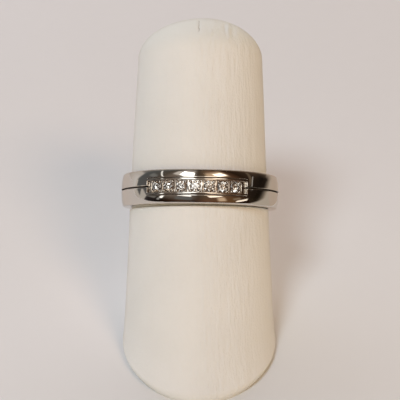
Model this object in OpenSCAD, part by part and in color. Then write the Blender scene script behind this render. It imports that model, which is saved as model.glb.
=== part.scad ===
// Wedding ring with a channel of seven brilliants, worn by a leaning leatherette finger stand.
// The origin is the middle of the stand's foot on the table, +Z is up, the stones face -Y.

/* [Band] */
// Inner diameter, where the finger goes
inner_d = 17.9; // [17.4:0.1:18]
// Thickness of the band at its middle
wall = 1.3; // [1.25:0.05:1.6]
// Width of the band along the finger
band_w = 4.25; // [4:0.05:5]
// Radius of the flat arc over the middle of the outside
dome_r = 16.3; // [15:0.1:18]
// Radius of the tighter arc on each of the outside's two shoulders
shoulder_r = 3.7; // [3.4:0.1:4]
// Rounding of the two outer edges
edge_r = 0.33; // [0.3:0.01:0.36]
// Rounding of the two inner edges
comfort_r = 0.15; // [0.1:0.01:0.2]
// Width of the fine groove round the middle
groove_w = 0.2; // [0.15:0.01:0.3]
// Depth of the fine groove
groove_depth = 0.38; // [0.3:0.01:0.38]

/* [Channel] */
// Width of the channel between its two rails
channel_w = 1.5; // [1.46:0.02:1.7]
// Depth of the channel floor under the top of the band
channel_depth = 0.42; // [0.38:0.01:0.44]
// Angle from the middle of the channel to each end wall
channel_half = 37.2; // [36.8:0.1:40]
// Width of the bars between the cells
bar_w = 0.16; // [0.12:0.01:0.2]
// Height of the bars over the channel floor
bar_h = 0.17; // [0.1:0.01:0.2]
// Radius of the corner grains
grain_r = 0.19; // [0.16:0.01:0.2]

/* [Diamonds] */
// Girdle diameter of a brilliant
stone_d = 1.36; // [1.3:0.01:1.4]
// Angle round the finger from stone to stone
stone_pitch = 9.9; // [9.8:0.05:10]
// How far the row sits off the middle of the channel, as an angle
row_shift = -0.8; // [-1:0.1:1]
// Table width over the girdle diameter
table_part = 0.56; // [0.53:0.01:0.6]
// Crown angle of the kite facets
crown_angle = 34; // [32:0.5:36]
// Pavilion angle of the kite facets
pavilion_angle = 40.5; // [40:0.5:41.5]
// Height of the girdle
girdle_h = 0.04; // [0.03:0.01:0.05]
// Free gap between a stone and the metal
stone_gap = 0.02; // [0.01:0.005:0.03]

/* [Display finger] */
// Lean of the finger back from upright
lean = 36.5; // [30:0.5:37]
// Radius of the finger at the middle of its foot
foot_r = 9.7; // [9.6:0.05:10]
// Radius of the finger where its domed top starts
tip_r = 8.2; // [8:0.05:8.4]
// Length of the axis from the foot to the start of the dome
taper_len = 36.3; // [34:0.1:40]
// Height of the domed top
dome_h = 5.4; // [5:0.1:6.5]

/* [Ring on the finger] */
// Place of the band's middle along the axis
ring_at = 18.9; // [18.5:0.1:19.3]
// Turn of the stones round the finger, off the front
ring_turn = -2.5; // [-10:0.5:10]
// Slant of the ring on the finger
ring_skew = 0.95; // [0:0.05:1]
// Sideways play of the ring on the finger
ring_shift = 0.1; // [0:0.01:0.1]
// Free gap between the band and the leatherette
fit_gap = 0.03; // [0.02:0.01:0.04]

/* [Hidden] */
$fn = 96;
stones = 7;
inner_r = inner_d / 2;
outer_r = inner_r + wall;
half_w = band_w / 2;
stone_r = stone_d / 2;
floor_r = outer_r - channel_depth;
// Half angle of the flat arc, and the middles of the arcs that go on smoothly from one another
shoulder_from = 3.8;
dome_at = outer_r - dome_r;
shoulder_at = dome_at + (dome_r - shoulder_r) * cos(shoulder_from);
shoulder_z = (dome_r - shoulder_r) * sin(shoulder_from);
shoulder_to = asin((half_w - edge_r - shoulder_z) / (shoulder_r - edge_r));
edge_at = shoulder_at + (shoulder_r - edge_r) * cos(shoulder_to);
// Steps in a rounded edge, in a shoulder and in the flat arc
edge_steps = 5;
shoulder_steps = 4;
dome_steps = 6;
// Length that cutters reach past the metal they cut
over = 1;
// Angle that the groove's ends run into the channel, so that it splits the end walls
groove_end = 0.5;
// Kite facets round a brilliant, the sides of its girdle, and half the angle of a kite
mains = 8;
girdle_sides = 2 * mains;
half_step = 180 / mains;
// Radii of the brilliant's corners: the table, the star points and the lower points
table_r = stone_r * table_part / cos(half_step);
star_r = (table_r + stone_r) / 2;
lower_r = stone_r * 0.22;
// How far a grain's middle stands outside the stone, and over the channel floor
grain_out = 0.12;
grain_up = 0.06;
// Steps of the finger's rounded top
top_steps = 14;
// The seat that the band has pressed into the leatherette
seat_r = inner_r - ring_shift - half_w * sin(ring_skew) - fit_gap;
seat_half = half_w + outer_r * sin(ring_skew) + fit_gap;
// Room under the table for the lowest stretch of the slanted foot
foot_room = 14;

// Rise of a kite facet from the girdle to a place nearer the stone's middle
function slope(x, angle) = (stone_r - x) * tan(angle);

// Radius of the tapered post at a place along its axis
function post_r(s) = foot_r + (tip_r - foot_r) * s / taper_len;

// Angle of a stone round the ring, from the middle of the channel
function stone_angle(i) = row_shift + (i - (stones - 1) / 2) * stone_pitch;

// Points of an arc, without the first and last few where skip says so
function arc(cx, cz, r, from, to, steps, skip = 0) =
    [for (i = [skip:steps - skip]) let(a = from + (to - from) * i / steps)
        [cx + r * cos(a), cz + r * sin(a)]];

// Section of the band in the plane of its radius and its width
module band_section() {
    edge_z = half_w - edge_r;
    comfort_at = inner_r + comfort_r;
    comfort_z = half_w - comfort_r;
    polygon(concat(
        arc(edge_at, -edge_z, edge_r, -90, -shoulder_to, edge_steps),
        arc(shoulder_at, -shoulder_z, shoulder_r, -shoulder_to, -shoulder_from, shoulder_steps, 1),
        arc(dome_at, 0, dome_r, -shoulder_from, shoulder_from, dome_steps),
        arc(shoulder_at, shoulder_z, shoulder_r, shoulder_from, shoulder_to, shoulder_steps, 1),
        arc(edge_at, edge_z, edge_r, shoulder_to, 90, edge_steps),
        arc(comfort_at, comfort_z, comfort_r, 90, 180, edge_steps),
        arc(comfort_at, -comfort_z, comfort_r, 180, 270, edge_steps)));
}

// Ring sector cut from a plain rectangle, centred on +X
module sector(r_in, r_out, w, half) {
    rotate([0, 0, -half])
        rotate_extrude(angle = 2 * half)
            translate([r_in, -w / 2])
                square([r_out - r_in, w]);
}

// Puts its child on the channel floor at an angle round the ring, its +Z pointing outwards
module on_floor(angle) {
    rotate([0, 0, angle])
        translate([floor_r, 0, 0])
            rotate([0, 90, 0])
                children();
}

// Bar between two cells, from rail to rail
module cell_bar() {
    root = 0.2;
    translate([-channel_w / 2 - root, -bar_w / 2, -root])
        cube([channel_w + 2 * root, bar_w, bar_h + root]);
}

// Four grains at the corners of a stone
module cell_grains() {
    for (i = [0:3])
        rotate([0, 0, 45 + 90 * i])
            translate([stone_r + grain_out, 0, grain_up])
                sphere(r = grain_r, $fn = 24);
}

// Pocket that leaves the stone free: a cone under the girdle and the crown's cone over it
module stone_pocket() {
    r = stone_r + stone_gap;
    culet = -girdle_h - slope(0, pavilion_angle) - 2 * stone_gap;
    top = slope(table_r, crown_angle) + 2 * stone_gap;
    rotate_extrude()
        polygon([[0, culet], [r, -girdle_h - stone_gap], [r, stone_gap],
                 [table_r + stone_gap, top], [table_r + stone_gap, top + over], [0, top + over]]);
}

// Level ring of corners round a brilliant, the first one at an angle
function corners(n, r, z, first = 0) =
    [for (i = [0:n - 1]) let(a = first + 360 / n * i) [r * cos(a), r * sin(a), z]];

// Round brilliant with the top of its girdle at z = 0 and its table up
module brilliant() {
    points = concat(
        corners(mains, table_r, slope(table_r, crown_angle), half_step),
        corners(mains, star_r, slope(star_r * cos(half_step), crown_angle)),
        corners(girdle_sides, stone_r, 0),
        corners(girdle_sides, stone_r, -girdle_h),
        corners(mains, lower_r, -girdle_h - slope(lower_r * cos(half_step), pavilion_angle)),
        [[0, 0, -girdle_h - slope(0, pavilion_angle)]]);
    star = mains;
    upper = star + mains;
    under = upper + girdle_sides;
    low = under + girdle_sides;
    culet = low + mains;
    function before(i) = (i + girdle_sides - 1) % girdle_sides;
    function after(i) = (i + 1) % girdle_sides;
    function next(i) = (i + 1) % mains;
    each_main = [0:mains - 1];
    faces = concat(
        [[for (i = [mains - 1:-1:0]) i]],
        [for (i = each_main) [i, next(i), star + next(i)]],
        [for (i = each_main) [i, star + next(i), upper + 2 * i + 1, star + i]],
        [for (i = each_main) [star + i, upper + 2 * i + 1, upper + 2 * i]],
        [for (i = each_main) [star + i, upper + 2 * i, upper + before(2 * i)]],
        [for (i = [0:girdle_sides - 1]) [upper + i, upper + after(i), under + after(i), under + i]],
        [for (i = each_main) [low + i, under + 2 * i, under + 2 * i + 1]],
        [for (i = each_main) [low + i, under + before(2 * i), under + 2 * i]],
        [for (i = each_main) [culet, low + i, under + 2 * i + 1, low + next(i)]]);
    polyhedron(points, faces);
}

// Puts the ring, built round its own Z axis with the stones at +X, on the leaning finger
module on_finger() {
    rotate([-lean, 0, 0])
        translate([ring_shift, 0, ring_at])
            rotate([0, ring_skew, 0])
                rotate([0, 0, ring_turn - 90])
                    children();
}

// The whole band
module band() {
    color("lightgray")
    on_finger()
    difference() {
        union() {
            difference() {
                rotate_extrude() band_section();
                sector(floor_r, outer_r + over, channel_w, channel_half);
                rotate([0, 0, 180])
                    sector(outer_r - groove_depth, outer_r + over, groove_w,
                           180 - channel_half + groove_end);
            }
            for (i = [0:stones]) on_floor(stone_angle(i - 0.5)) cell_bar();
            for (i = [0:stones - 1]) on_floor(stone_angle(i)) cell_grains();
        }
        for (i = [0:stones - 1]) on_floor(stone_angle(i)) stone_pocket();
    }
}

// One of the stones, counted from 1
module diamond(number) {
    color("azure")
    on_finger() on_floor(stone_angle(number - 1)) brilliant();
}

// The leaning stand: a tapered post with a domed top, cut level by the table
module display_finger() {
    seat_low = ring_at - seat_half;
    seat_high = (foot_r - seat_r) / (foot_r - tip_r) * taper_len;
    color("linen")
    intersection() {
        rotate([-lean, 0, 0])
            rotate_extrude()
                polygon(concat(
                    [[0, -foot_room], [post_r(-foot_room), -foot_room],
                     [post_r(seat_low), seat_low], [seat_r, seat_low], [seat_r, seat_high]],
                    [for (i = [0:top_steps]) let(a = 90 * i / top_steps)
                        [tip_r * cos(a), taper_len + dome_h * sin(a)]]));
        translate([-2 * foot_r, -4 * foot_r, 0])
            cube([4 * foot_r, 12 * foot_r, 2 * taper_len]);
    }
}

band();
diamond(1);  // diamond_1
diamond(2);  // diamond_2
diamond(3);  // diamond_3
diamond(4);  // diamond_4
diamond(5);  // diamond_5
diamond(6);  // diamond_6
diamond(7);  // diamond_7
display_finger();
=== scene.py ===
"""Looks of a wedding ring with a channel of brilliants on its leatherette display finger.

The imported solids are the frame. The brilliants keep their own meshes, and the band and the finger are
modelled again, finer, where their solids are. Sizes are in metres, from the drawing of the part.
"""

import logging
import math
from collections.abc import Callable
from dataclasses import dataclass, field
from enum import Enum

import bmesh
import bpy
from mathutils import Matrix, Vector, noise


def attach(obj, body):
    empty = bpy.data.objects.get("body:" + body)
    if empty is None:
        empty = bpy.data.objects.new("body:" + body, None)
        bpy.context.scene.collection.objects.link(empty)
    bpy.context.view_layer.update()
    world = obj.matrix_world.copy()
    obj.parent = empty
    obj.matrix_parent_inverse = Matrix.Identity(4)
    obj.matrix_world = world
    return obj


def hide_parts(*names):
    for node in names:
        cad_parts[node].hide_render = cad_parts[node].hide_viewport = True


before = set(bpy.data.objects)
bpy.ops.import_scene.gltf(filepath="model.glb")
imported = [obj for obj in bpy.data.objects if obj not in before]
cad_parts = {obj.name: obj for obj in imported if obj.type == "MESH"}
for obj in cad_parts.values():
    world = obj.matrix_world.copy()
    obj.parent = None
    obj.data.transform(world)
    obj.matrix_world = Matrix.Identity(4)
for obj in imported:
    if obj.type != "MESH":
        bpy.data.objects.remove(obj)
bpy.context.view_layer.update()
BODY = "root"
MM = 0.001
MERGE = 0.0005 * MM
# Sockets of a Mix node for colours, whose names its sockets for numbers share.
MIX_FACTOR, MIX_FIRST, MIX_SECOND, MIX_RESULT = 0, 6, 7, 2
# Tones are azimuths with their colours, and a Remap is a range with what its two ends become.
Colour = tuple[float, float, float, float]
Tint = tuple[float, float, float]
Tones = tuple[tuple[float, Tint], ...]
Range = tuple[float, float]
Remap = tuple[float, float, float, float]
log = logging.getLogger("ring")


class Slot(Enum):
    """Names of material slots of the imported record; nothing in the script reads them."""

    GOLD = "white_gold"
    LEATHER = "leatherette"


class Surface(Enum):
    """Material indices of the band's faces."""

    POLISHED = 0
    BRIGHT_CUT = 1
    GROOVE = 2
    BEADS = 3


class Beam(Enum):
    """Colours of the studio's lights and of what the metal mirrors."""

    DAYLIGHT = (0.813, 0.913, 1.0)
    LAMP = (1.0, 0.67, 0.442)
    WALL = (1.0, 0.903, 0.931)
    SIDE = (0.725, 0.783, 1.0)
    CEILING = (1.0, 0.66, 0.72)
    HORIZON = (1.0, 0.80, 0.42)
    WHITE = (1.0, 1.0, 0.97)
    AMBER = (1.0, 0.72, 0.48)
    PEACH = (1.0, 0.88, 0.74)
    TABLE = (1.0, 0.93, 0.86)


def opaque(tint: Tint, strength: float = 1.0) -> Colour:
    """Scales a colour and gives it full alpha."""
    return (*(strength * part for part in tint), 1.0)


@dataclass(frozen=True)
class Pattern:
    """A noise pattern.

    Args:
        scale: how many of its waves go into a metre.
        detail: how many layers of finer waves it has.
        roughness: how strong the finer waves are.
    """

    scale: float
    detail: float = 2.0
    roughness: float = 0.5


@dataclass(frozen=True)
class Signal:
    """A socket of a node, with arithmetic that lays out Math nodes.

    Args:
        bench: the bench that the nodes are laid out on.
        socket: the output socket that carries the value.
    """

    bench: "Bench"
    socket: bpy.types.NodeSocket

    def _math(self, operation: str, first: "Signal | float", second: "Signal | float") -> "Signal":
        """Returns the result of one Math node."""
        return self.bench.node("ShaderNodeMath", {"operation": operation}, {0: first, 1: second})

    def __add__(self, other: "Signal | float") -> "Signal":
        """Sum."""
        return self._math("ADD", self, other)

    __radd__ = __add__

    def __sub__(self, other: "Signal | float") -> "Signal":
        """Difference."""
        return self._math("SUBTRACT", self, other)

    def __rsub__(self, other: "Signal | float") -> "Signal":
        """Difference from a number."""
        return self._math("SUBTRACT", other, self)

    def __mul__(self, other: "Signal | float") -> "Signal":
        """Product."""
        return self._math("MULTIPLY", self, other)

    __rmul__ = __mul__

    def curve(self, operation: str, other: "Signal | float" = 0.0) -> "Signal":
        """Result of any other Math node, such as an arcsine."""
        return self._math(operation, self, other)

    def band(self, low: float, high: float, to_low: float = 0.0, to_high: float = 1.0) -> "Signal":
        """Maps a range of the value smoothly onto another, and clamps it.

        Args:
            low: the value that gives to_low.
            high: the value that gives to_high, which may be the lower of the two.
            to_low: the result at low and past it.
            to_high: the result at high and past it.

        Returns:
            The mapped value.
        """
        return self.bench.node(
            "ShaderNodeMapRange",
            {"interpolation_type": "SMOOTHSTEP"},
            {"Value": self, "From Min": low, "From Max": high, "To Min": to_low, "To Max": to_high},
        )


class Bench:
    """Lays out the nodes of one material or of the world."""

    def __init__(self, owner: bpy.types.Material | bpy.types.World) -> None:
        """Clears the owner's nodes.

        Args:
            owner: the material or world that the nodes go into.
        """
        owner.use_nodes = True
        self.tree = owner.node_tree
        self.tree.nodes.clear()

    def node(self, kind: str, settings: dict[str, object] | None = None,
             inputs: dict[int | str, object] | None = None, output: int | str = 0) -> Signal:
        """Makes one node.

        Args:
            kind: the node's type.
            settings: its properties, which are set first; stops holds a ramp's places and colours.
            inputs: a value or a Signal for each socket, by name or index.
            output: the output socket that is passed on.

        Returns:
            The output as a Signal.
        """
        made = self.tree.nodes.new(kind)
        for name, value in (settings or {}).items():
            if name == "stops":
                self._set_stops(made.color_ramp.elements, value)
            else:
                setattr(made, name, value)
        for name, value in (inputs or {}).items():
            if isinstance(value, Signal):
                self.tree.links.new(value.socket, made.inputs[name])
            else:
                made.inputs[name].default_value = value
        return Signal(self, made.outputs[output])

    @staticmethod
    def _set_stops(elements: bpy.types.ColorRampElements, stops: list[tuple[float, Colour]]) -> None:
        """Gives a ramp its stops.

        Args:
            elements: the ramp's elements, at least one.
            stops: the place and colour of each stop, from left to right.
        """
        while len(elements) < len(stops):
            elements.new(1.0)
        for element, (place, colour) in zip(elements, stops):
            element.position = place
            element.color = colour

    def mix(self, factor: Signal, first: Colour | Signal, second: Colour | Signal,
            blend: str = "MIX") -> Signal:
        """Mixes two colours.

        Args:
            factor: the share of the second, from 0 to 1.
            first: the colour at 0.
            second: the colour that is mixed in.
            blend: the node's blend type.

        Returns:
            The mixed colour.
        """
        return self.node("ShaderNodeMix", {"data_type": "RGBA", "blend_type": blend},
                         {MIX_FACTOR: factor, MIX_FIRST: first, MIX_SECOND: second}, MIX_RESULT)

    def place(self, turn: tuple[float, float, float] = (0, 0, 0),
              scale: tuple[float, float, float] = (1, 1, 1)) -> Signal:
        """Gives the Object coordinates in a turned and scaled frame.

        Args:
            turn: the frame's turn round each axis.
            scale: the length of the frame's unit along each axis.

        Returns:
            The place in that frame.
        """
        here = self.node("ShaderNodeTexCoord", output="Object")
        return self.node("ShaderNodeMapping", {"vector_type": "TEXTURE"},
                         {"Vector": here, "Rotation": turn, "Scale": scale})

    def axes(self, where: Signal) -> tuple[Signal, ...]:
        """Parts of a place along X, Y and Z."""
        first = self.node("ShaderNodeSeparateXYZ", {}, {0: where})
        return tuple(Signal(self, part) for part in first.socket.node.outputs)

    def noise(self, where: Signal, pattern: Pattern) -> Signal:
        """Noise over a place, from 0 to 1."""
        waves = {"Scale": pattern.scale, "Detail": pattern.detail, "Roughness": pattern.roughness}
        return self.node("ShaderNodeTexNoise", {}, {"Vector": where, **waves})

    def cells(self, where: Signal, scale: float) -> Signal:
        """Distance to the nearest of many scattered points, so many to a metre."""
        return self.node("ShaderNodeTexVoronoi", {"feature": "F1"}, {"Vector": where, "Scale": scale})

    def bump(self, height: Signal, distance: float = 1.0) -> Signal:
        """Normal of a relief, whose height is counted in distances of so many metres."""
        return self.node("ShaderNodeBump", {}, {"Height": height, "Distance": distance, "Strength": 1.0})

    def finish(self, kind: str, shader: Signal) -> None:
        """Makes the output node, which passes nothing on."""
        end = self.tree.nodes.new(kind)
        self.tree.links.new(shader.socket, end.inputs["Surface"])


class Finish:
    """What all finishes share: a name, and one principled shader whose sockets each of them fills."""

    name: str

    def sockets(self, bench: Bench) -> dict[str, object]:
        """Values and Signals for the shader's sockets, which each finish gives on its own bench."""
        raise NotImplementedError

    def build(self) -> bpy.types.Material:
        """Makes the material.

        Returns:
            The material.
        """
        material = bpy.data.materials.new(self.name)
        bench = Bench(material)
        shader = bench.node("ShaderNodeBsdfPrincipled", {}, self.sockets(bench))
        bench.finish("ShaderNodeOutputMaterial", shader)
        return material


@dataclass(frozen=True)
class WhiteGold(Finish):
    """Polished white gold under bright rhodium."""

    name: str = "white_gold_polished"
    colour: Colour = (0.70, 0.66, 0.61, 1.0)
    grazing: Colour = (0.88, 0.83, 0.79, 1.0)
    wear: Pattern = Pattern(420, 4, 0.6)
    roughness: Remap = (0.45, 0.75, 0.03, 0.08)
    hairlines: Pattern = Pattern(9000, 3, 0.6)
    hairline_scale: tuple[float, float, float] = (1, 0.08, 1)
    hairline_depth: float = 0.00035 * MM

    def sockets(self, bench: Bench) -> dict[str, object]:
        """Gives a mirror finish with faint wear and hairlines.

        Args:
            bench: the bench of the material.

        Returns:
            What the shader's sockets take.
        """
        worn = bench.noise(bench.place(), self.wear).band(*self.roughness)
        fine = bench.noise(bench.place(scale=self.hairline_scale), self.hairlines)
        return {
            "Base Color": self.colour,
            "Specular Tint": self.grazing,
            "Metallic": 1.0,
            "Roughness": worn,
            "Normal": bench.bump(fine, self.hairline_depth),
        }


@dataclass(frozen=True)
class BrightCut(Finish):
    """White gold as the graver leaves it round the stones."""

    name: str = "white_gold_bright_cut"
    colour: Colour = (0.74, 0.70, 0.65, 1.0)
    marks: Pattern = Pattern(3000)
    roughness: Remap = (0.3, 0.7, 0.05, 0.16)
    facets: float = 5200.0
    facet_depth: float = 0.003 * MM

    def sockets(self, bench: Bench) -> dict[str, object]:
        """Gives bright metal with the graver's small facets.

        Args:
            bench: the bench of the material.

        Returns:
            What the shader's sockets take.
        """
        here = bench.place()
        return {
            "Base Color": self.colour,
            "Metallic": 1.0,
            "Roughness": bench.noise(here, self.marks).band(*self.roughness),
            "Normal": bench.bump(bench.cells(here, self.facets), self.facet_depth),
        }


@dataclass(frozen=True)
class Bead(Finish):
    """White gold of the grains, pressed round with a hollow punch."""

    name: str = "white_gold_beads"
    colour: Colour = (0.84, 0.79, 0.73, 1.0)
    marks: Pattern = Pattern(2200)
    roughness: Remap = (0.3, 0.7, 0.14, 0.26)

    def sockets(self, bench: Bench) -> dict[str, object]:
        """Gives burnished metal, a little satin from the punch.

        Args:
            bench: the bench of the material.

        Returns:
            What the shader's sockets take.
        """
        return {
            "Base Color": self.colour,
            "Metallic": 1.0,
            "Roughness": bench.noise(bench.place(), self.marks).band(*self.roughness),
        }


@dataclass(frozen=True)
class GrooveBottom(Finish):
    """White gold in the groove and the rails' fine lines, its colour a dark painted shade of the narrow
    recess.
    """

    name: str = "white_gold_groove_painted_shade"
    # Painted shade: both colours darken the groove's bottom and walls, mottled one into the other.
    colour: Colour = (0.16, 0.13, 0.105, 1.0)
    dull: Colour = (0.07, 0.052, 0.04, 1.0)
    metallic_share: float = 0.7
    shade_mottle: Pattern = Pattern(1600, 3)
    roughness: Remap = (0.3, 0.7, 0.4, 0.6)
    scratches: Pattern = Pattern(12000)
    scratch_depth: float = 0.003 * MM

    def sockets(self, bench: Bench) -> dict[str, object]:
        """Gives dark, rough metal, its colour a mottled painted shade.

        Args:
            bench: the bench of the material.

        Returns:
            What the shader's sockets take.
        """
        here = bench.place()
        # The mottle mixes the two painted shade colours and sets the roughness.
        shade_mottle = bench.noise(here, self.shade_mottle)
        return {
            "Base Color": bench.mix(shade_mottle, self.colour, self.dull),
            "Metallic": self.metallic_share,
            "Roughness": shade_mottle.band(*self.roughness),
            "Normal": bench.bump(bench.noise(here, self.scratches), self.scratch_depth),
        }


@dataclass(frozen=True)
class Diamond(Finish):
    """Clear cut stone."""

    name: str = "diamond_clear"
    colour: Colour = (1.0, 0.99, 0.965, 1.0)
    refraction: float = 2.417
    marks: Pattern = Pattern(2600)
    roughness: Remap = (0.4, 0.8, 0.0, 0.03)

    def sockets(self, bench: Bench) -> dict[str, object]:
        """Gives a clear stone, with the faintest polish marks on its facets.

        Args:
            bench: the bench of the material.

        Returns:
            What the shader's sockets take.
        """
        return {
            "Base Color": self.colour,
            "Roughness": bench.noise(bench.place(), self.marks).band(*self.roughness),
            "IOR": self.refraction,
            "Transmission Weight": 1.0,
        }


@dataclass(frozen=True)
class Leatherette(Finish):
    """White leatherette stretched over the finger, with places in the finger's upright frame."""

    lean: float
    name: str = "leatherette_white"
    pale: Colour = (0.77, 0.762, 0.757, 1.0)
    dull: Colour = (0.735, 0.727, 0.72, 1.0)
    patches: Pattern = Pattern(160, 3)
    patch_edge: Range = (0.35, 0.7)
    patch_share: float = 0.6
    pores: float = 3600.0
    pore_depth: float = 0.018 * MM
    streaks: Pattern = Pattern(2300, 3, 0.55)
    streak_length: float = 6.0
    streak_depth: float = 0.135 * MM
    streak_edge: Range = (0.1, 0.5)
    slack_left: Remap = (-1.5 * MM, 1.5 * MM, 0.35, 1.0)
    slack_right: Remap = (8.5 * MM, 5 * MM, 0.4, 1.0)
    # Painted shade over the tip: darker and less blue towards the top of the finger.
    shaded_tip_colour: Colour = (0.69, 0.705, 0.665, 1.0)
    tip_shade_height: Range = (35.5 * MM, 40.5 * MM)
    # Painted shade, darkening the fold at the tip and the edges that turn away from view.
    fold_and_rim_shade: Colour = (0.40, 0.35, 0.30, 1.0)
    rim: Range = (0.7, 1.0)
    rim_share: float = 0.3
    fold_side: float = -0.02 * MM
    fold_height: Range = (38.4 * MM, 40.7 * MM)
    fold_fade: float = 0.4 * MM
    fold_edge: Range = (0.1 * MM, 0.03 * MM)
    fold_wander: Pattern = Pattern(1100)
    fold_sway: float = 0.4 * MM
    fold_share: float = 0.65
    marks: Pattern = Pattern(900)
    roughness: Remap = (0.3, 0.7, 0.5, 0.62)
    specular: float = 0.35

    def _fold(self, bench: Bench, upright: Signal) -> Signal:
        """Marks the sharp fold at the tip, which painted shade darkens.

        Args:
            bench: the bench of the material.
            upright: the place in the finger's upright frame.

        Returns:
            The mark, from 0 to 1.
        """
        x, y, z = bench.axes(upright)
        low, high = self.fold_height
        wander = bench.noise(upright, self.fold_wander) * self.fold_sway - self.fold_sway / 2
        across = (x - self.fold_side + wander).curve("ABSOLUTE").band(*self.fold_edge)
        front = y.band(0, -MM)
        return across * front * z.band(low, low + self.fold_fade) * z.band(high, high - self.fold_fade)

    def _streaks(self, bench: Bench) -> Signal:
        """Draws streaks along the finger, strongest where the leatherette is pulled tight.

        Args:
            bench: the bench of the material.

        Returns:
            The height of the streaks, from 0 to 1.
        """
        along = bench.place(turn=(-self.lean, 0, 0), scale=(1, 1, self.streak_length))
        side = bench.axes(bench.place())[0]
        pulled = side.band(*self.slack_left) * side.band(*self.slack_right)
        return bench.noise(along, self.streaks) * pulled

    def sockets(self, bench: Bench) -> dict[str, object]:
        """Gives fine grain and streaks, and painted shade over the tip, in the fold and round the turned
        edge.

        Args:
            bench: the bench of the material.

        Returns:
            What the shader's sockets take.
        """
        here = bench.place()
        upright = bench.place(turn=(-self.lean, 0, 0))
        streaks = self._streaks(bench)
        patches = bench.noise(here, self.patches).band(*self.patch_edge) * self.patch_share
        streaked = streaks.band(*self.streak_edge) * (1 - self.patch_share)
        colour = bench.mix(patches + streaked, self.pale, self.dull)
        # Painted shade over the tip.
        tip = bench.axes(upright)[2].band(*self.tip_shade_height)
        colour = bench.mix(tip, colour, self.shaded_tip_colour)
        # Painted shade round the outline, where the surface turns away from the view.
        turned = bench.node("ShaderNodeLayerWeight", output="Facing").band(*self.rim)
        colour = bench.mix(turned * self.rim_share, colour, self.fold_and_rim_shade)
        relief = bench.cells(here, self.pores) * self.pore_depth + streaks * self.streak_depth
        return {
            # Painted shade in the fold at the tip.
            "Base Color": bench.mix(self._fold(bench, upright) * self.fold_share, colour, self.fold_and_rim_shade),
            "Roughness": bench.noise(here, self.marks).band(*self.roughness),
            "Specular IOR Level": self.specular,
            "Normal": bench.bump(relief),
        }


@dataclass(frozen=True)
class PaleTable(Finish):
    """Matt pale table top."""

    name: str = "pale_table"
    light: Colour = (0.707, 0.708, 0.706, 1.0)
    dark: Colour = (0.695, 0.696, 0.694, 1.0)
    patches: Pattern = Pattern(14, 3)
    marks: Pattern = Pattern(300)
    roughness: Remap = (0.3, 0.7, 0.7, 0.8)

    def sockets(self, bench: Bench) -> dict[str, object]:
        """Gives an even, matt surface with the faintest patches.

        Args:
            bench: the bench of the material.

        Returns:
            What the shader's sockets take.
        """
        here = bench.place()
        return {
            "Base Color": bench.mix(bench.noise(here, self.patches), self.light, self.dark),
            "Roughness": bench.noise(here, self.marks).band(*self.roughness),
        }


@dataclass(frozen=True)
class Placing:
    """How the finger leans and how the ring sits on it."""

    lean: float = math.radians(36.5)
    ring_at: float = 18.9 * MM
    ring_turn: float = math.radians(-2.5)
    ring_skew: float = math.radians(0.95)
    ring_shift: float = 0.1 * MM

    def finger(self) -> Matrix:
        """Turns the finger's upright axis to its lean."""
        return Matrix.Rotation(-self.lean, 4, "X")

    def ring(self) -> Matrix:
        """Puts the ring, whose stones face +X, on the finger.

        Returns:
            The ring's place in the row frame.
        """
        return (self.finger() @ Matrix.Translation((self.ring_shift, 0, self.ring_at))
                @ Matrix.Rotation(self.ring_skew, 4, "Y")
                @ Matrix.Rotation(self.ring_turn - math.pi / 2, 4, "Z"))


class Profile:
    """An outline in the X-Z plane, drawn by moving one point, that is spun round the Z axis."""

    def __init__(self, x: float, z: float) -> None:
        """Starts the outline at a point.

        Args:
            x: the point's distance from the axis.
            z: its height.
        """
        self.bm = bmesh.new()
        self.first = self.bm.verts.new((x, 0, z))
        self.last = self.first

    def line(self, x: float, z: float, cuts: int = 0) -> "Profile":
        """Draws a straight stretch.

        Args:
            x: the distance of its end from the axis.
            z: the height of its end.
            cuts: how many points lie between its ends.

        Returns:
            The outline.
        """
        start = self.last.co.copy()
        for step in range(1, cuts + 2):
            self.last = bmesh.ops.extrude_vert_indiv(self.bm, verts=[self.last])["verts"][0]
            self.last.co = start.lerp(Vector((x, 0, z)), step / (cuts + 1))
        return self

    def arc(self, x: float, z: float, angle: float, steps: int) -> "Profile":
        """Draws an arc, anticlockwise with X to the right and Z up.

        Args:
            x: the distance of its middle from the axis.
            z: the height of its middle.
            angle: how far it goes round its middle.
            steps: how many straight steps it takes.

        Returns:
            The outline.
        """
        made = bmesh.ops.spin(self.bm, geom=[self.last], cent=(x, 0, z), axis=(0, -1, 0), angle=angle,
                              steps=steps, use_duplicate=False)
        self.last = next(g for g in made["geom_last"] if isinstance(g, bmesh.types.BMVert))
        return self

    def close(self) -> "Profile":
        """Joins the end to the start."""
        self.bm.edges.new((self.last, self.first))
        return self

    def spin(self, start: float, angle: float, steps: int) -> bmesh.types.BMesh:
        """Spins the outline round Z.

        Args:
            start: the angle that the outline is turned to first.
            angle: how far it is spun.
            steps: how many steps that takes.

        Returns:
            The spun mesh.
        """
        bmesh.ops.rotate(self.bm, verts=self.bm.verts, cent=(0, 0, 0),
                         matrix=Matrix.Rotation(start, 3, "Z"))
        full = math.isclose(angle, 2 * math.pi)
        bmesh.ops.spin(self.bm, geom=self.bm.verts[:] + self.bm.edges[:], cent=(0, 0, 0),
                       axis=(0, 0, 1), angle=angle, steps=steps, use_merge=full, use_duplicate=False)
        return self.bm


def gather(target: bmesh.types.BMesh, part: bmesh.types.BMesh, place: Matrix = Matrix.Identity(4),
           surface: Surface = Surface.POLISHED) -> None:
    """Moves a finished part's mesh into the band's mesh.

    Args:
        target: the mesh that takes the part.
        part: the part, which is freed.
        place: where the part goes.
        surface: what the part's faces are dressed as.
    """
    bmesh.ops.transform(part, matrix=place, verts=part.verts)
    for face in part.faces:
        face.material_index = surface.value
    mesh = bpy.data.meshes.new("part")
    part.to_mesh(mesh)
    part.free()
    target.from_mesh(mesh)
    bpy.data.meshes.remove(mesh)


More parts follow.
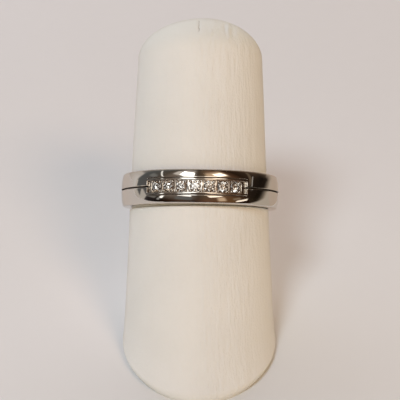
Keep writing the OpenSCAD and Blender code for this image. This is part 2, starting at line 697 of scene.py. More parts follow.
def make_object(bm: bmesh.types.BMesh, name: str,
                materials: list[bpy.types.Material]) -> bpy.types.Object:
    """Makes an object of a finished mesh and dresses it.

    Args:
        bm: the mesh in the row frame, which is freed.
        name: the object's name.
        materials: one for each material index of the faces.

    Returns:
        The object, which is linked to the scene.
    """
    mesh = bpy.data.meshes.new(name)
    bm.to_mesh(mesh)
    bm.free()
    for material in materials:
        mesh.materials.append(material)
    made = bpy.data.objects.new(name, mesh)
    bpy.context.scene.collection.objects.link(made)
    log.info("%s: %d faces", name, len(mesh.polygons))
    return made


def finish_piece(bm: bmesh.types.BMesh, name: str, node: str,
                 finishes: tuple[Finish, ...], sharp: float) -> bpy.types.Object:
    """Makes a piece of a mesh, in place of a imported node.

    Args:
        bm: the mesh in the row frame, which is freed.
        name: the piece's name.
        node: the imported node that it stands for.
        finishes: one for each material index of the faces.
        sharp: the angle past which an edge is shaded sharp.

    Returns:
        The piece.
    """
    bmesh.ops.recalc_face_normals(bm, faces=bm.faces)
    for face in bm.faces:
        face.smooth = True
    piece = make_object(bm, name, [finish.build() for finish in finishes])
    piece.data.set_sharp_from_angle(angle=sharp)
    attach(piece, BODY)
    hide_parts(node)
    return piece


@dataclass
class Band:
    """The polished band with its groove, its channel and the cells of the stones.

    Its crown is three arcs that run into one another, the dome, the shoulder and the edge, and lies an
    inset below the solid's. Angles along it are counted from the middle of the channel.
    """

    placing: Placing
    inner: float = 8.95 * MM
    wall: float = 1.3 * MM
    inset: float = 0.005 * MM
    width: float = 4.25 * MM
    dome: float = 16.3 * MM
    shoulder: float = 3.7 * MM
    shoulder_from: float = math.radians(3.8)
    edge: float = 0.33 * MM
    comfort: float = 0.15 * MM
    groove_width: float = 0.2 * MM
    groove_depth: float = 0.38 * MM
    channel_width: float = 1.5 * MM
    channel_depth: float = 0.42 * MM
    channel_half: float = math.radians(37.2)
    score: float = 0.99 * MM
    score_depth: float = 0.07 * MM
    trough_left: float = 0.17 * MM
    bar_width: float = 0.16 * MM
    bar_height: float = 0.17 * MM
    bar_round: float = 0.01 * MM
    end_round: float = 0.02 * MM
    grain: float = 0.19 * MM
    grain_out: float = 0.12 * MM
    grain_up: float = 0.06 * MM
    stones: int = 7
    stone: float = 0.68 * MM
    stone_gap: float = 0.02 * MM
    pitch: float = math.radians(9.9)
    row_shift: float = math.radians(-0.8)
    crown_angle: float = math.radians(34)
    pavilion_angle: float = math.radians(40.5)
    girdle: float = 0.04 * MM
    lip: float = 0.035 * MM
    end_lip: float = 0.11 * MM
    lip_angle: float = math.radians(50)
    sharp: float = math.radians(40)
    steps_round: int = 360
    steps_channel: int = 96
    comfort_steps: int = 4
    edge_steps: int = 9
    shoulder_steps: int = 7
    rail_steps: int = 2
    crown_steps: int = 5
    pocket_steps: int = 32
    grain_steps: tuple[int, int] = (16, 10)
    bevel_steps: int = 3
    finishes: tuple[Finish, ...] = (WhiteGold(), BrightCut(), GrooveBottom(), Bead())
    outer: float = field(init=False)
    half: float = field(init=False)
    floor: float = field(init=False)
    dome_x: float = field(init=False)
    shoulder_to: float = field(init=False)

    def __post_init__(self) -> None:
        """Works out the sizes that follow from the others."""
        self.outer = self.inner + self.wall - self.inset
        self.half = self.width / 2
        self.floor = self.inner + self.wall - self.channel_depth
        self.dome_x = self.outer - self.dome
        rise = (self.dome - self.shoulder) * math.sin(self.shoulder_from)
        self.shoulder_to = math.asin((self.half - self.edge - rise) / (self.shoulder - self.edge))

    def _crown_edge(self) -> float:
        """Distance from the middle of the width to where the flat arc ends."""
        return self.dome * math.sin(self.shoulder_from)

    def _score(self, outline: Profile, side: int, scored: bool) -> None:
        """Draws the stretch beside a rail, from side -1 inwards or from side 1 outwards.

        Args:
            outline: the outline that is drawn on.
            side: the side of the channel.
            scored: whether the stretch has the fine line that sets the rail off from the crown.
        """
        far = Vector((self.dome_x + self.dome * math.cos(self.shoulder_from), self._crown_edge()))
        near = Vector((self.dome_x + math.sqrt(self.dome ** 2 - self.score ** 2), self.score))
        if scored:
            down = Vector((self.score_depth, 0))
            path = [far - down, near - down, near] if side < 0 else [near - down, far - down, far]
            for x, z in path:
                outline.line(x, side * z)
        else:
            outline.arc(self.dome_x, 0, self.shoulder_from - math.asin(self.score / self.dome), 1)

    def _section(self, cut: Callable[[Profile], None], scored: bool) -> Profile:
        """Draws the band's section.

        Args:
            cut: draws the stretch from one rim of the channel to the other.
            scored: whether fine lines set the rails off.

        Returns:
            The closed outline.
        """
        edge_z = self.half - self.edge
        comfort_z = self.half - self.comfort
        shoulder_x = self.dome_x + (self.dome - self.shoulder) * math.cos(self.shoulder_from)
        shoulder_z = (self.dome - self.shoulder) * math.sin(self.shoulder_from)
        edge_x = shoulder_x + (self.shoulder - self.edge) * math.cos(self.shoulder_to)
        rail = math.asin(self.score / self.dome) - math.asin(self.channel_width / 2 / self.dome)
        bend = self.shoulder_to - self.shoulder_from
        corner = math.pi / 2 - self.shoulder_to
        outline = Profile(self.inner, -comfort_z)
        outline.arc(self.inner + self.comfort, -comfort_z, math.pi / 2, self.comfort_steps)
        outline.line(edge_x, -self.half, 1)
        outline.arc(edge_x, -edge_z, corner, self.edge_steps)
        outline.arc(shoulder_x, -shoulder_z, bend, self.shoulder_steps)
        self._score(outline, -1, scored)
        outline.arc(self.dome_x, 0, rail, self.rail_steps)
        cut(outline)
        outline.arc(self.dome_x, 0, rail, self.rail_steps)
        self._score(outline, 1, scored)
        outline.arc(shoulder_x, shoulder_z, bend, self.shoulder_steps)
        outline.arc(edge_x, edge_z, corner, self.edge_steps)
        outline.line(self.inner + self.comfort, self.half, 1)
        outline.arc(self.inner + self.comfort, comfort_z, math.pi / 2, self.comfort_steps)
        return outline.close()

    def _cut_groove(self, outline: Profile) -> None:
        """Draws the crown with the fine groove in its middle.

        Args:
            outline: the outline that is drawn on.
        """
        rim = math.asin(self.channel_width / 2 / self.dome)
        lip = math.asin(self.groove_width / 2 / self.dome)
        crown_x = self.dome_x + self.dome * math.cos(lip)
        bottom = self.outer - self.groove_depth
        outline.arc(self.dome_x, 0, rim - lip, self.crown_steps)
        outline.line(bottom, -self.groove_width / 2)
        outline.line(bottom, self.groove_width / 2)
        outline.line(crown_x, self.groove_width / 2)
        outline.arc(self.dome_x, 0, rim - lip, self.crown_steps)

    def _cut_channel(self, outline: Profile) -> None:
        """Draws the trough that the cells lie in.

        Args:
            outline: the outline that is drawn on.
        """
        rim_z = self.channel_width / 2
        rim_x = self.dome_x + math.sqrt(self.dome ** 2 - rim_z ** 2)
        bottom = self.inner + self.trough_left
        outline.line(bottom, -rim_z)
        outline.line(bottom, rim_z)
        outline.line(rim_x, rim_z)

    def _body(self) -> bmesh.types.BMesh:
        """Spins the grooved and the channelled stretch, and closes the channel's ends.

        Returns:
            The band with an empty channel, with its stones to +X.
        """
        bm = self._section(self._cut_groove, False).spin(
            self.channel_half, 2 * math.pi - 2 * self.channel_half, self.steps_round)
        gather(bm, self._section(self._cut_channel, True).spin(
            -self.channel_half, 2 * self.channel_half, self.steps_channel))
        bmesh.ops.remove_doubles(bm, verts=bm.verts, dist=MERGE)
        walls = bmesh.ops.edgeloop_fill(bm, edges=[e for e in bm.edges if e.is_boundary])["faces"]
        bmesh.ops.recalc_face_normals(bm, faces=bm.faces)
        for face in bm.faces:
            if self._is_groove(face):
                face.material_index = Surface.GROOVE.value
        for wall in walls:
            wall.material_index = Surface.BRIGHT_CUT.value
        for wanted, offset in ((self._is_end, self.end_lip), (self._is_lip, self.lip)):
            bmesh.ops.bevel(bm, geom=[e for e in bm.edges if wanted(e)], offset=offset,
                            segments=self.bevel_steps, profile=0.5, affect="EDGES", material=-1,
                            clamp_overlap=True)
        return bm

    def _is_groove(self, face: bmesh.types.BMFace) -> bool:
        """Tells whether a face is the bottom or a wall of the fine groove or of a rail's fine line.

        Args:
            face: a face of the body.

        Returns:
            True if it is.
        """
        middle = face.calc_center_median()
        below = self.inner + self.wall / 2 < middle.xy.length < self.outer - self.score_depth / 2
        beside = abs(middle.z) < self.groove_width
        groove = beside and abs(math.atan2(middle.y, middle.x)) > self.channel_half
        scored = self.score - MERGE < abs(middle.z) < self._crown_edge() + MERGE
        return below and (groove or scored)

    def _is_lip(self, edge: bmesh.types.BMEdge) -> bool:
        """Tells whether an edge is a sharp rim of the channel or the groove."""
        near_top = min(v.co.xy.length for v in edge.verts) > self.outer - self.groove_depth / 2
        return near_top and edge.calc_face_angle(0) > self.lip_angle

    def _is_end(self, edge: bmesh.types.BMEdge) -> bool:
        """Tells whether an edge is a sharp rim of an end wall of the channel.

        Args:
            edge: an edge of the body.

        Returns:
            True if it is.
        """
        near = MERGE / self.inner
        at_end = all(abs(abs(math.atan2(v.co.y, v.co.x)) - self.channel_half) < near for v in edge.verts)
        inside = all(abs(v.co.z) < self.channel_width / 2 + MERGE for v in edge.verts)
        return at_end and inside and self._is_lip(edge)

    def _on_floor(self, angle: float) -> Matrix:
        """Place on the channel's floor at an angle, with +Z outwards."""
        return (Matrix.Rotation(angle, 4, "Z") @ Matrix.Translation((self.floor, 0, 0))
                @ Matrix.Rotation(math.pi / 2, 4, "Y"))

    def _stone_angle(self, index: float) -> float:
        """Angle of a stone, counted from 0, from the middle of the channel."""
        return self.row_shift + (index - (self.stones - 1) / 2) * self.pitch

    def _tile(self, half_x: float, half_y: float) -> bmesh.types.BMesh:
        """Makes a cell's floor, a block with the stone's pocket sunk in it.

        Args:
            half_x: half of its size across the band.
            half_y: half of its size along the band.

        Returns:
            The block, with its top at height 0.
        """
        bm = bmesh.new()
        pocket = self.stone + self.stone_gap
        bottom = self.inner + self.trough_left / 2 - self.floor
        depth = self.girdle + self.stone_gap + pocket * math.tan(self.pavilion_angle)
        bmesh.ops.create_circle(bm, segments=self.pocket_steps, radius=pocket)
        loop = bm.edges[:]
        wall = self._extrude(bm, loop, Vector((0, 0, -self.girdle - self.stone_gap)))
        cone = self._extrude(bm, wall, Vector((0, 0, 0)))
        tip = {v for e in cone for v in e.verts}
        bmesh.ops.pointmerge(bm, verts=list(tip), merge_co=(0, 0, -depth))
        skirt = self._extrude(bm, loop, Vector((0, 0, 0)))
        for vert in {v for e in skirt for v in e.verts}:
            reach = max(abs(vert.co.x), abs(vert.co.y))
            vert.co.x *= half_x / reach
            vert.co.y *= half_y / reach
        base = self._extrude(bm, skirt, Vector((0, 0, bottom)))
        bmesh.ops.edgeloop_fill(bm, edges=base)
        return bm

    @staticmethod
    def _extrude(bm: bmesh.types.BMesh, edges: list[bmesh.types.BMEdge],
                 move: Vector) -> list[bmesh.types.BMEdge]:
        """Extrudes a loop of edges and moves it.

        Args:
            bm: the mesh that the edges are in.
            edges: the loop.
            move: how far the new loop moves.

        Returns:
            The new loop.
        """
        made = bmesh.ops.extrude_edge_only(bm, edges=edges)["geom"]
        verts = [g for g in made if isinstance(g, bmesh.types.BMVert)]
        bmesh.ops.translate(bm, verts=verts, vec=move)
        fresh = set(verts)
        return [g for g in made if isinstance(g, bmesh.types.BMEdge) and fresh.issuperset(g.verts)]

    def _grain(self, turn: float) -> bmesh.types.BMesh:
        """Makes one grain, with the flat where it lies against the stone's crown.

        Args:
            turn: its direction from the stone's middle, in the cell.

        Returns:
            The grain, beside a stone at the origin.
        """
        bm = bmesh.new()
        across, up = self.grain_steps
        bmesh.ops.create_uvsphere(bm, u_segments=across, v_segments=up, radius=self.grain)
        bmesh.ops.translate(bm, verts=bm.verts, vec=(self.stone + self.grain_out, 0, self.grain_up))
        normal = Vector((-math.sin(self.crown_angle), 0, -math.cos(self.crown_angle)))
        touch = Vector((self.stone + self.stone_gap, 0, self.stone_gap))
        bmesh.ops.bisect_plane(bm, geom=bm.verts[:] + bm.edges[:] + bm.faces[:], dist=MERGE,
                               plane_co=touch, plane_no=normal, clear_outer=True)
        bmesh.ops.edgeloop_fill(bm, edges=[e for e in bm.edges if e.is_boundary])
        bmesh.ops.rotate(bm, verts=bm.verts, cent=(0, 0, 0), matrix=Matrix.Rotation(turn, 3, "Z"))
        return bm

    def _block(self, size: tuple[float, float, float], top: float, bevel: float) -> bmesh.types.BMesh:
        """Makes a block with its upper edges rounded.

        Args:
            size: its size across the band, along it and outwards.
            top: the height of its top over the channel's floor.
            bevel: how far in from each edge its rounding starts.

        Returns:
            The block, at the middle of the channel's floor.
        """
        bm = bmesh.new()
        bmesh.ops.create_cube(bm, size=1)
        bmesh.ops.scale(bm, vec=size, verts=bm.verts)
        bmesh.ops.translate(bm, vec=(0, 0, top - size[2] / 2), verts=bm.verts)
        upper = [e for e in bm.edges if all(v.co.z > top - MERGE for v in e.verts)]
        bmesh.ops.bevel(bm, geom=upper, offset=bevel, segments=self.bevel_steps, profile=0.5,
                        affect="EDGES", material=-1)
        return bm

    def _fill_channel(self, bm: bmesh.types.BMesh) -> None:
        """Puts the cells, their bars and grains and the bare ends into the channel.

        Args:
            bm: the body, with its stones to +X.
        """
        half_x = self.channel_width / 2 + self.stone_gap
        half_y = self.floor * math.tan(self.pitch / 2) + self.stone_gap
        root = self.floor - self.inner - self.trough_left / 2
        for index in range(self.stones):
            place = self._on_floor(self._stone_angle(index))
            gather(bm, self._tile(half_x, half_y), place, Surface.BRIGHT_CUT)
            for corner in range(4):
                turn = math.pi / 4 + corner * math.pi / 2
                gather(bm, self._grain(turn), place, Surface.BEADS)
        for index in range(self.stones + 1):
            bar = self._block((2 * half_x, self.bar_width, self.bar_height + root), self.bar_height,
                              self.bar_round)
            gather(bm, bar, self._on_floor(self._stone_angle(index - 0.5)))
        for index, side in ((-0.5, -1), (self.stones - 0.5, 1)):
            bar_angle = self._stone_angle(index)
            middle = (bar_angle + side * self.channel_half) / 2
            length = self.floor * abs(side * self.channel_half - bar_angle) + self.bar_width
            end = self._block((2 * half_x, length, root), 0, self.end_round)
            gather(bm, end, self._on_floor(middle), Surface.BRIGHT_CUT)

    def build(self) -> bpy.types.Object:
        """Models the band and dresses it.

        Returns:
            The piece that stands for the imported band.
        """
        bm = self._body()
        self._fill_channel(bm)
        bmesh.ops.transform(bm, matrix=self.placing.ring(), verts=bm.verts)
        piece = finish_piece(bm, "polished_band", "band", self.finishes, self.sharp)
        weighted = piece.modifiers.new("even_normals", "WEIGHTED_NORMAL")
        weighted.keep_sharp = True
        return piece


@dataclass(frozen=True)
class Brilliants:
    """The row of brilliants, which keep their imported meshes."""

    count: int
    finish: Finish = Diamond()

    def build(self) -> None:
        """Dresses the stones."""
        clear = self.finish.build()
        for number in range(1, self.count + 1):
            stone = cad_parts[f"diamond_{number}"]
            stone.material_slots[0].material = clear
            log.info("%s: %d faces", stone.name, len(stone.data.polygons))


@dataclass(frozen=True)
class Crease:
    """One crease on the finger's front, in the finger's upright frame.

    Args:
        side: its distance to the right of the finger's middle.
        low: the height of its lower end.
        high: the height of its upper end.
        width: how far from its bottom line it has a third of its depth left.
        depth: its depth, below zero for a ridge.
        reach: how many widths to the side it goes.
    """

    side: float
    low: float
    high: float
    width: float
    depth: float
    reach: float = 4.0

    def sunk(self, place: Vector) -> float:
        """Tells how deep the crease is at a place.

        Args:
            place: the place, with Z along the finger and Y to its back.

        Returns:
            The depth.
        """
        across = (place.x - self.side) / self.width
        middle = (self.low + self.high) / 2
        beside = (place.z - middle) / (self.high - self.low) * 2
        if place.y < 0 and abs(across) < self.reach and abs(beside) < 1:
            return self.depth * math.exp(-across * across) * (1 - beside * beside)
        return 0.0


@dataclass
class DisplayFinger:
    """The leatherette finger, stretched over its core and cut level at the foot."""

    placing: Placing
    foot: float = 9.75 * MM
    tip: float = 8.2 * MM
    taper: float = 36.3 * MM
    dome: float = 5.4 * MM
    seat: float = 8.785 * MM
    seat_half: float = 2.325 * MM
    under: float = 14 * MM
    roll_height: Range = (0.6 * MM, 1.3 * MM)
    roll_depth: Range = (0.75 * MM, 1.25 * MM)
    roll_power: float = 1.5
    roll_steps: int = 8
    flare_height: float = 5 * MM
    flare: Range = (0.12 * MM, 1.05 * MM)
    turns: int = 288
    dome_steps: int = 30
    step: float = 0.25 * MM
    wave: float = 0.035 * MM
    wave_length: float = 7 * MM
    wrinkle: float = 0.03 * MM
    wrinkle_width: float = 0.75 * MM
    wrinkle_stretch: float = 7.0
    slack: float = 0.35
    pulled_at: float = 0.42
    pulled_over: float = 0.4
    sway: float = 0.14 * MM
    sway_from: float = 24 * MM
    sway_over: float = 12 * MM
    still_seat: float = 0.2 * MM
    still_foot: float = 0.5 * MM
    still_fade: float = 1 * MM
    sharp: float = math.radians(60)
    creases: tuple[Crease, ...] = (
        Crease(-0.02 * MM, 38.2 * MM, 40.9 * MM, 0.12 * MM, 0.12 * MM),
        Crease(3.3 * MM, 37.4 * MM, 40.9 * MM, 0.15 * MM, 0.13 * MM),
        Crease(3.65 * MM, 37.0 * MM, 40.9 * MM, 0.15 * MM, -0.1 * MM),
        Crease(4.3 * MM, 36.8 * MM, 40.5 * MM, 0.16 * MM, 0.1 * MM),
        Crease(2.9 * MM, 34.0 * MM, 37.0 * MM, 0.2 * MM, 0.04 * MM),
        Crease(4.6 * MM, 32.5 * MM, 36.0 * MM, 0.2 * MM, 0.04 * MM),
    )

    def _radius(self, along: float) -> float:
        """Radius of the taper at a place along the axis."""
        return self.foot + (self.tip - self.foot) * along / self.taper

    def _cuts(self, length: float) -> int:
        """Number of points that a straight stretch takes."""
        return max(0, round(length / self.step) - 1)

    def _outline(self) -> Profile:
        """Draws half of the finger's section, from the top down.

        Returns:
            The open outline.
        """
        low = self.placing.ring_at - self.seat_half
        high = (self.foot - self.seat) / (self.foot - self.tip) * self.taper
        outline = Profile(0, self.taper + self.tip)
        outline.arc(0, self.taper, -math.pi / 2, self.dome_steps)
        squash = Matrix.Diagonal((1, 1, self.dome / self.tip))
        bmesh.ops.transform(outline.bm, matrix=squash.to_4x4(), verts=outline.bm.verts,
                            space=Matrix.Translation((0, 0, -self.taper)))
        outline.line(self.seat, high, self._cuts(self.taper - high))
        outline.line(self.seat, low, self._cuts(high - low))
        outline.line(self._radius(low), low, 1)
        outline.line(self._radius(-self.under), -self.under, self._cuts(low + self.under))
        return outline

    def _relief(self, place: Vector) -> float:
        """Height of the leatherette's soft waves and creases at a place in the finger's frame.

        Args:
            place: the place, with Z along the finger and Y to its back.

        Returns:
            The height over the plain finger.
        """
        azimuth = math.atan2(place.x, -place.y)
        stretched = Vector((place.x, place.y, place.z / self.wrinkle_stretch)) / self.wrinkle_width
        pulled = self.slack + math.exp(-((azimuth - self.pulled_at) / self.pulled_over) ** 2)
        upper = max(0.0, min(1.0, (place.z - self.sway_from) / self.sway_over))
        height = self.wave * (noise.noise(place / self.wave_length) - 1)
        height += self.wrinkle * pulled * noise.noise(stretched)
        height += self.sway * math.sin(azimuth) * upper
        for crease in self.creases:
            height -= crease.sunk(place)
        return height

    def _clear(self, place: Vector, above: float) -> float:
        """Tells how free the leatherette is to move: not under the band, and not at the foot.

        Args:
            place: the place in the finger's upright frame.
            above: its height over the table.

        Returns:
            The share of the waves and creases that shows there, from 0 to 1.
        """
        off_seat = abs(place.z - self.placing.ring_at) - self.seat_half - self.still_seat
        off_foot = above - self.still_foot
        seat, foot = (max(0.0, min(1.0, off / self.still_fade)) for off in (off_seat, off_foot))
        return seat * foot

    def _roll_foot(self, bm: bmesh.types.BMesh) -> None:
        """Cuts the finger level, flares it a little and rolls the leatherette's lower edge under.

        Args:
            bm: the leaning finger, which reaches below the table.
        """
        bmesh.ops.bisect_plane(bm, geom=bm.verts[:] + bm.edges[:] + bm.faces[:], dist=MERGE,
                               plane_co=(0, 0, 0), plane_no=(0, 0, -1), clear_outer=True)
        for step in range(1, self.roll_steps + 1):
            turn = step / self.roll_steps * math.pi / 2
            height = self.roll_height[1] * (1 - math.cos(turn))
            bmesh.ops.bisect_plane(bm, geom=bm.verts[:] + bm.edges[:] + bm.faces[:], dist=MERGE,
                                   plane_co=(0, 0, height), plane_no=(0, 0, -1))
        bmesh.ops.edgeloop_fill(bm, edges=[e for e in bm.edges if e.is_boundary])
        bmesh.ops.recalc_face_normals(bm, faces=bm.faces)
        bm.normal_update()
        for vert in [v for v in bm.verts if v.co.z < self.flare_height]:
            outwards = Vector((vert.normal.x, vert.normal.y, 0)).normalized()
            front = max(0.0, -outwards.y)
            roll, depth, flare = (low + (high - low) * front for low, high in
                                  (self.roll_height, self.roll_depth, self.flare))
            share = max(0.0, 1 - vert.co.z / roll)
            shift = flare * (1 - vert.co.z / self.flare_height) ** 2 - depth * share ** self.roll_power
            vert.co += outwards * shift
        bm.normal_update()

    def build(self) -> bpy.types.Object:
        """Models the finger and dresses it.

        Returns:
            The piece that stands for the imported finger.
        """
        bm = self._outline().spin(0, 2 * math.pi, self.turns)
        bmesh.ops.remove_doubles(bm, verts=bm.verts, dist=MERGE)
        bmesh.ops.transform(bm, matrix=self.placing.finger(), verts=bm.verts)
        self._roll_foot(bm)
        upright = self.placing.finger().inverted()
        moves = [(v, upright @ v.co) for v in bm.verts]
        shifts = [(v, v.normal * (self._relief(p) * self._clear(p, v.co.z))) for v, p in moves]
        for vert, shift in shifts:
            vert.co += shift
        finishes = (Leatherette(self.placing.lean),)
        return finish_piece(bm, "leatherette_finger", "display_finger", finishes,
                            self.sharp)


def towards(azimuth: float, elevation: float) -> Vector:
    """Direction from the ring, with azimuth 0 to the front and positive to the right."""
    level = math.cos(elevation)
    return Vector((level * math.sin(azimuth), -level * math.cos(azimuth), math.sin(elevation)))


@dataclass(frozen=True)
class Glow:
    """A bright spot of the surroundings that the metal mirrors, measured in degrees from the ring.

    Args:
        azimuth: the direction of its middle, from the front to the right.
        elevation: how high its middle is.
        width: its width.
        height: its height.
        soft: the width of its soft edge.
        strength: how bright it is.
        beam: its colour.
        slant: how far it moves to the right for each degree upwards.
    """

    azimuth: float
    elevation: float
    width: float
    height: float
    soft: float
    strength: float
    beam: Beam
    slant: float = 0.0

    def paint(self, bench: Bench, azimuth: Signal, elevation: Signal, under: Signal) -> Signal:
        """Lays the spot over the wall's colour, where it is the brighter of the two.

        Args:
            bench: the bench of the wall's material.
            azimuth: the azimuth of the place on the wall.
            elevation: its elevation.
            under: the colour there so far.

        Returns:
            The colour with the spot.
        """
        rise = elevation - self.elevation
        beside = (azimuth - self.azimuth - rise * self.slant).curve("ABSOLUTE")
        above = rise.curve("ABSOLUTE")
        share = beside.band(self.width / 2 + self.soft / 2, self.width / 2 - self.soft / 2)
        share = share * above.band(self.height / 2 + self.soft / 2, self.height / 2 - self.soft / 2)
        return bench.mix(share, under, opaque(self.beam.value, self.strength), "LIGHTEN")


@dataclass(frozen=True)
class Surround:
    """The dim room round the ring, or a shaded stretch of the table, that the metal mirrors.

    It is a stretch of a ball's wall round the ring, measured in degrees from the ring, and is seen
    only in mirrored and broken light.

    Args:
        name: the name of its object and material.
        radius: the ball's radius.
        left: the azimuth of its left end, from the front to the right.
        right: the azimuth of its right end.
        low: the elevation of its lower edge.
        high: the elevation of its upper edge.
        blend_low: the elevation up to which it has its lower tones.
        blend_high: the elevation from which it has its upper tones.
        low_tones: its colours below, each with its azimuth.
        high_tones: its colours above, each with its azimuth.
        glows: its bright spots, each laid over those before it.
        steps_up: how many faces it has from its lower edge to its upper one.
        steps_round: how many faces it has from end to end.
    """

    name: str
    radius: float
    left: float
    right: float
    low: float
    high: float
    blend_low: float
    blend_high: float
    low_tones: Tones
    high_tones: Tones
    glows: tuple[Glow, ...] = ()
    steps_up: int = 24
    steps_round: int = 48

    def _tone(self, bench: Bench, azimuth: Signal, tones: Tones) -> Signal:
        """Colours the wall by azimuth.

        Args:
            bench: the bench of the wall's material.
            azimuth: the azimuth of the place on the wall.
            tones: the colours, each with its azimuth.

        Returns:
            The colour of the place.
        """
        span = self.right - self.left
        stops = [((place - self.left) / span, opaque(tint)) for place, tint in tones]
        where = (azimuth - self.left) * (1 / span)
        return bench.node("ShaderNodeValToRGB", {"stops": stops}, {"Fac": where})

    def _material(self) -> bpy.types.Material:
        """Paints the wall by direction from the ring.

        Returns:
            The material, which glows but isn't taken for a light.
        """
        material = bpy.data.materials.new(self.name)
        bench = Bench(material)
        x, y, z = bench.axes(bench.node("ShaderNodeTexCoord", output="Object"))
        to_degrees = math.degrees(1)
        azimuth = x.curve("ARCTAN2", y * -1.0) * to_degrees
        elevation = (z * (1 / self.radius)).curve("ARCSINE") * to_degrees
        low, high = (self._tone(bench, azimuth, tones) for tones in (self.low_tones, self.high_tones))
        colour = bench.mix(elevation.band(self.blend_low, self.blend_high), low, high)
        for glow in self.glows:
            colour = glow.paint(bench, azimuth, elevation, colour)
        shader = bench.node("ShaderNodeEmission", {}, {"Color": colour, "Strength": 1.0})
        bench.finish("ShaderNodeOutputMaterial", shader)
        material.cycles.emission_sampling = "NONE"
        return material

    def build(self, middle: Vector) -> None:
        """Hangs the wall round a point.

        Args:
            middle: the point.
        """
        low, high = math.radians(self.low), math.radians(self.high)
        outline = Profile(self.radius * math.cos(low), self.radius * math.sin(low))
        outline.arc(0, 0, high - low, self.steps_up)
        start, end = math.radians(self.left - 90), math.radians(self.right - 90)
        bm = outline.spin(start, end - start, self.steps_round)
        for face in bm.faces:
            face.smooth = True
        wall = make_object(bm, self.name, [self._material()])
        wall.location = middle
        wall.visible_camera = False
        wall.visible_diffuse = False
        wall.visible_shadow = False


DARK_ROOM = Surround(
    name="dark_room",
    radius=130 * MM,
    left=-180.0,
    right=180.0,
    low=-10.0,
    high=80.0,
    blend_low=4.0,
    blend_high=27.0,
    low_tones=(
        (-180.0, (0.45, 0.42, 0.39)),
        (-130.0, (0.52, 0.475, 0.44)),
        (-106.1, (0.68, 0.655, 0.64)),
        (-102.6, (0.105, 0.112, 0.114)),
        (-84.0, (0.115, 0.11, 0.11)),
        (-77.0, (0.03, 0.024, 0.024)),
        (-58.0, (0.008, 0.005, 0.004)),
        (-42.0, (0.03, 0.013, 0.006)),
        (-27.0, (0.065, 0.035, 0.021)),
        (-9.0, (0.03, 0.018, 0.014)),
        (8.0, (0.15, 0.07, 0.038)),
        (45.0, (0.15, 0.075, 0.03)),
        (60.0, (0.06, 0.03, 0.015)),
        (76.0, (0.02, 0.013, 0.009)),
        (108.0, (0.011, 0.008, 0.006)),
        (119.0, (0.07, 0.05, 0.035)),
        (128.0, (0.20, 0.155, 0.115)),
        (145.0, (0.32, 0.265, 0.215)),
        (180.0, (0.45, 0.42, 0.39)),
    ),
    high_tones=(
        (-180.0, (0.30, 0.28, 0.26)),
        (-120.0, (0.25, 0.23, 0.21)),
        (-100.0, (0.10, 0.107, 0.108)),
        (-72.0, (0.09, 0.075, 0.06)),
        (-55.0, (0.20, 0.16, 0.13)),
        (-12.0, (0.15, 0.12, 0.10)),
        (-3.0, (0.07, 0.05, 0.035)),
        (8.0, (0.12, 0.08, 0.05)),
        (32.0, (0.18, 0.10, 0.06)),
        (48.0, (0.12, 0.065, 0.035)),
        (62.0, (0.09, 0.045, 0.025)),
        (76.0, (0.025, 0.013, 0.007)),
        (96.0, (0.045, 0.027, 0.017)),
        (130.0, (0.15, 0.095, 0.065)),
        (180.0, (0.30, 0.28, 0.26)),
    ),
    glows=(
        Glow(-36, 62, 42, 22, 13, 0.5, Beam.TABLE),
        Glow(-53, 55, 16, 12, 6, 0.7, Beam.TABLE),
        Glow(-30, 57, 32, 13, 3, 4.5, Beam.WHITE, -0.15),
        Glow(-20.5, 45, 27, 8, 6, 3.6, Beam.WHITE, -0.6),
        Glow(2, 45, 26, 9, 4, 0.75, Beam.PEACH),
        Glow(-24, 36, 24, 10, 5, 0.35, Beam.WHITE),
        Glow(-25, 28.5, 22, 4, 2.5, 2.6, Beam.WHITE, -0.3),
        Glow(-24, 19, 24, 10, 6, 0.15, Beam.WHITE),
        Glow(-79.3, 38.6, 5, 14, 2.5, 1.2, Beam.WHITE, -1.9),
        Glow(-86, 27, 14, 9, 5, 0.2, Beam.WHITE),
        Glow(-57, 15, 4.5, 10, 3, 2.0, Beam.WHITE),
        Glow(-59.5, 6, 4, 6, 3, 0.35, Beam.WHITE),
        Glow(-74, 9, 17, 8, 4, 0.18, Beam.TABLE),
        Glow(36, 52, 44, 20, 12, 0.7, Beam.AMBER),
        Glow(44, 51, 22, 11, 5, 2.8, Beam.PEACH, -0.5),
        Glow(20, 45, 22, 7, 4, 2.5, Beam.PEACH),
        Glow(20, 34, 16, 6, 3, 1.2, Beam.AMBER),
        Glow(23, 25.5, 20, 4.5, 3, 2.1, Beam.PEACH, -0.8),
        Glow(30.5, 14, 11, 13, 6, 0.7, Beam.AMBER),
        Glow(53, 10, 12, 6, 4, 0.25, Beam.AMBER),
        Glow(88, 15, 3, 9, 1.5, 0.4, Beam.TABLE, 1.5),
        Glow(91, 24, 7, 20, 4, 0.13, Beam.AMBER, 0.9),
        Glow(58, 1.5, 19, 6, 3, 1.5, Beam.PEACH, 0.8),
        Glow(-110.5, -2.5, 16, 11, 2, 0.63, Beam.TABLE),
        Glow(-141, 8.5, 72, 19, 6, 0.58, Beam.TABLE),
        Glow(-98.3, -4.9, 33, 6.2, 2, 0.55, Beam.TABLE),
        Glow(-87.3, 0.5, 11.4, 10, 2, 0.52, Beam.TABLE),
        Glow(-106, -10, 50, 12, 2, 0.55, Beam.TABLE),
    ),
)

